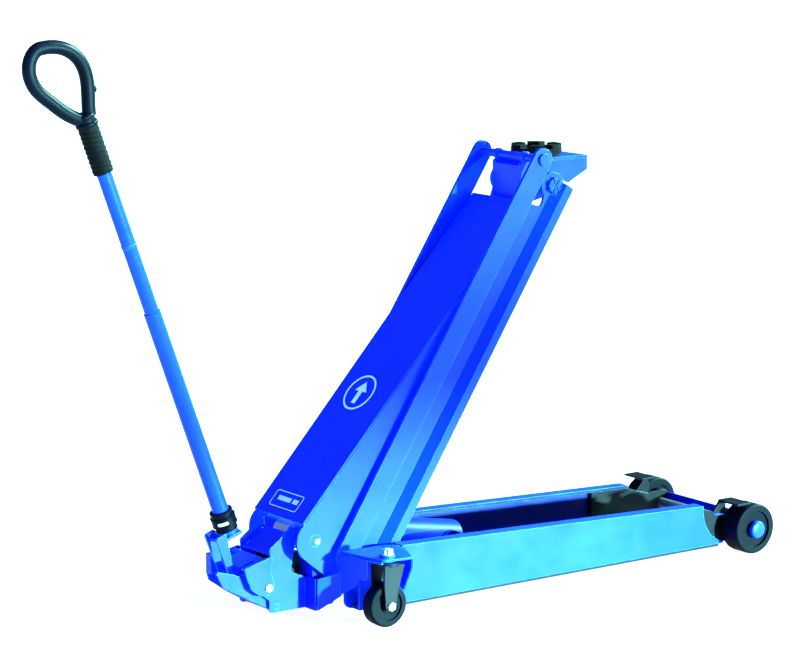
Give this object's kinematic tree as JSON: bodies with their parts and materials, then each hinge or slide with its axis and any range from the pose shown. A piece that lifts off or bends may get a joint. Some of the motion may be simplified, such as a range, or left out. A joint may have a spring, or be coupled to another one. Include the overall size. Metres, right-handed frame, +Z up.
{
  "type": "trolley jack",
  "caption": "Long wheeled hydraulic lifting jack with a levelling head on a box arm, upright pump handle, foot pedal and swivelling rear casters.",
  "frame": {"origin": "on the floor under the centre of the raised jack's bounding box", "axes": "+X towards the front wheels along the chassis, +Y to the left side, +Z up"},
  "size_m": [2.212, 0.5714, 1.4933],
  "materials": {
    "blue_paint": "gloss enamel",
    "black_plastic": "satin moulded",
    "rubber": "matt",
    "wheel_black": "satin nylon",
    "dark_steel": "black enamel",
    "zinc": "zinc plated",
    "chrome": "hard chrome",
    "white_print": "printed enamel",
    "steel_pin": "plain turned steel"
  },
  "bodies": {
    "chassis": {"belly_plate": "dark_steel", "rear_cross_plate": "blue_paint", "pump_cover": "blue_paint", "pump_block": "dark_steel", "oil_reservoir": "blue_paint", "pressure_pipe": "steel_pin", "anchor_bracket": "blue_paint", "front_cross_member": "blue_paint", "front_axle": "steel_pin", "axle_nuts": "zinc", "main_axle": "steel_pin", "tie_rod_pivot_pins": "zinc", "handle_pivot_pin": "zinc", "pedal_pin": "blue_paint", "side_beam_left": "blue_paint", "side_beam_right": "blue_paint", "rear_plate_left": "blue_paint", "rear_plate_right": "blue_paint", "outrigger_left": "blue_paint", "outrigger_right": "blue_paint", "tail_plate_left": "blue_paint", "tail_plate_right": "blue_paint", "axle_carrier_left": "dark_steel", "axle_carrier_right": "dark_steel"},
    "lift_arm": {"arm_side_left": "blue_paint", "arm_side_right": "blue_paint", "arm_cover": "blue_paint", "cover_markings": "white_print", "arm_cross_tubes": "blue_paint", "arm_hub_tube": "blue_paint", "lug_pin": "blue_paint", "head_pivot_pin": "blue_paint", "head_pivot_nuts": "blue_paint"},
    "tie_rods": {"tie_rod_left": "blue_paint", "tie_rod_right": "blue_paint"},
    "head": {"saddle_head": "blue_paint", "tie_rod_top_pin": "blue_paint"},
    "saddle": {"saddle_plate": "dark_steel", "saddle_pad": "rubber"},
    "ram_barrel": {"cylinder_barrel": "blue_paint", "cylinder_gland": "zinc"},
    "ram_rod": {"piston_rod": "chrome"},
    "handle": {"handle_yoke": "blue_paint", "rocker": "blue_paint", "handle_tube_lower": "blue_paint", "handle_collar": "black_plastic"},
    "grip": {"handle_tube_upper": "blue_paint", "grip_sleeve": "rubber", "grip_loop": "black_plastic"},
    "main_plunger": {"pump_plunger": "chrome"},
    "pedal": {"foot_pedal": "blue_paint"},
    "pedal_piston": {"pedal_plunger": "chrome"},
    "wheel_left": {"front_wheel_left": "wheel_black"},
    "caster_left": {"caster_fork_left": "dark_steel", "caster_axle_left": "zinc"},
    "caster_roller_left": {"caster_wheel_left": "wheel_black"},
    "wheel_right": {"front_wheel_right": "wheel_black"},
    "caster_right": {"caster_fork_right": "dark_steel", "caster_axle_right": "zinc"},
    "caster_roller_right": {"caster_wheel_right": "wheel_black"}
  },
  "joints": [
    {"name": "arm_lift", "type": "hinge", "parent": "chassis", "child": "lift_arm", "pos_m": [-0.22549, 0, 0.09], "axis": [0, -1, 0], "range_deg": [-57.15, 0]},
    {"name": "tie_rod_swing", "type": "hinge", "parent": "chassis", "child": "tie_rods", "pos_m": [-0.27549, 0, 0.163], "axis": [0, -1, 0], "range_deg": [-57.15, 0]},
    {"name": "head_level", "type": "hinge", "parent": "lift_arm", "child": "head", "pos_m": [0.40185, 0, 1.06157], "axis": [0, -1, 0], "range_deg": [0, 57.15]},
    {"name": "saddle_turn", "type": "hinge", "parent": "head", "child": "saddle", "pos_m": [0.43485, 0, 1.12157], "axis": [0, 0, 1], "continuous": true},
    {"name": "ram_tilt", "type": "hinge", "parent": "chassis", "child": "ram_barrel", "pos_m": [0.10951, 0, 0.13], "axis": [0, -1, 0], "range_deg": [-15.14, 0]},
    {"name": "ram_stroke", "type": "slide", "parent": "ram_barrel", "child": "ram_rod", "axis": [-0.9856, 0, 0.1694], "range_m": [-0.13264, 0]},
    {"name": "handle_stroke", "type": "hinge", "parent": "chassis", "child": "handle", "pos_m": [-0.47699, 0, 0.098], "axis": [0, -1, 0], "range_deg": [-10, 40]},
    {"name": "pump_stroke", "type": "slide", "parent": "chassis", "child": "main_plunger", "axis": [1, 0, 0], "range_m": [-0.00455, 0.01817]},
    {"name": "grip_twist", "type": "hinge", "parent": "handle", "child": "grip", "pos_m": [-0.52899, 0, 0.19], "axis": [-0.3469, 0, 0.9379], "range_deg": [0, 90]},
    {"name": "pedal_press", "type": "hinge", "parent": "chassis", "child": "pedal", "pos_m": [-0.44649, 0, 0.044], "axis": [0, -1, 0], "range_deg": [0, 12], "stiffness_Nm_per_rad": 60, "springref_deg": -8.59},
    {"name": "pedal_piston_stroke", "type": "slide", "parent": "chassis", "child": "pedal_piston", "axis": [0, 0, 1], "range_m": [0, 0.0103]},
    {"name": "wheel_left_roll", "type": "hinge", "parent": "chassis", "child": "wheel_left", "pos_m": [1.03601, 0.207, 0.07], "axis": [0, 1, 0], "continuous": true},
    {"name": "caster_left_swivel", "type": "hinge", "parent": "chassis", "child": "caster_left", "pos_m": [-0.23099, 0.248, 0.17], "axis": [0, 0, 1], "continuous": true},
    {"name": "caster_left_roll", "type": "hinge", "parent": "caster_left", "child": "caster_roller_left", "pos_m": [-0.23899, 0.248, 0.056], "axis": [0, 1, 0], "continuous": true},
    {"name": "wheel_right_roll", "type": "hinge", "parent": "chassis", "child": "wheel_right", "pos_m": [1.03601, -0.207, 0.07], "axis": [0, 1, 0], "continuous": true},
    {"name": "caster_right_swivel", "type": "hinge", "parent": "chassis", "child": "caster_right", "pos_m": [-0.23099, -0.248, 0.17], "axis": [0, 0, 1], "continuous": true},
    {"name": "caster_right_roll", "type": "hinge", "parent": "caster_right", "child": "caster_roller_right", "pos_m": [-0.23899, -0.248, 0.056], "axis": [0, 1, 0], "continuous": true}
  ],
  "couplings": [
    {"joint": "tie_rod_swing", "follows": "arm_lift", "ratio": 1},
    {"joint": "head_level", "follows": "arm_lift", "ratio": -1},
    {"joint": "ram_tilt", "follows": "arm_lift", "ratio": 0.26475},
    {"joint": "ram_stroke", "follows": "arm_lift", "m_per_rad": 0.13297},
    {"joint": "pump_stroke", "follows": "handle_stroke", "m_per_rad": 0.026},
    {"joint": "pedal_piston_stroke", "follows": "pedal_press", "m_per_rad": 0.049}
  ]
}
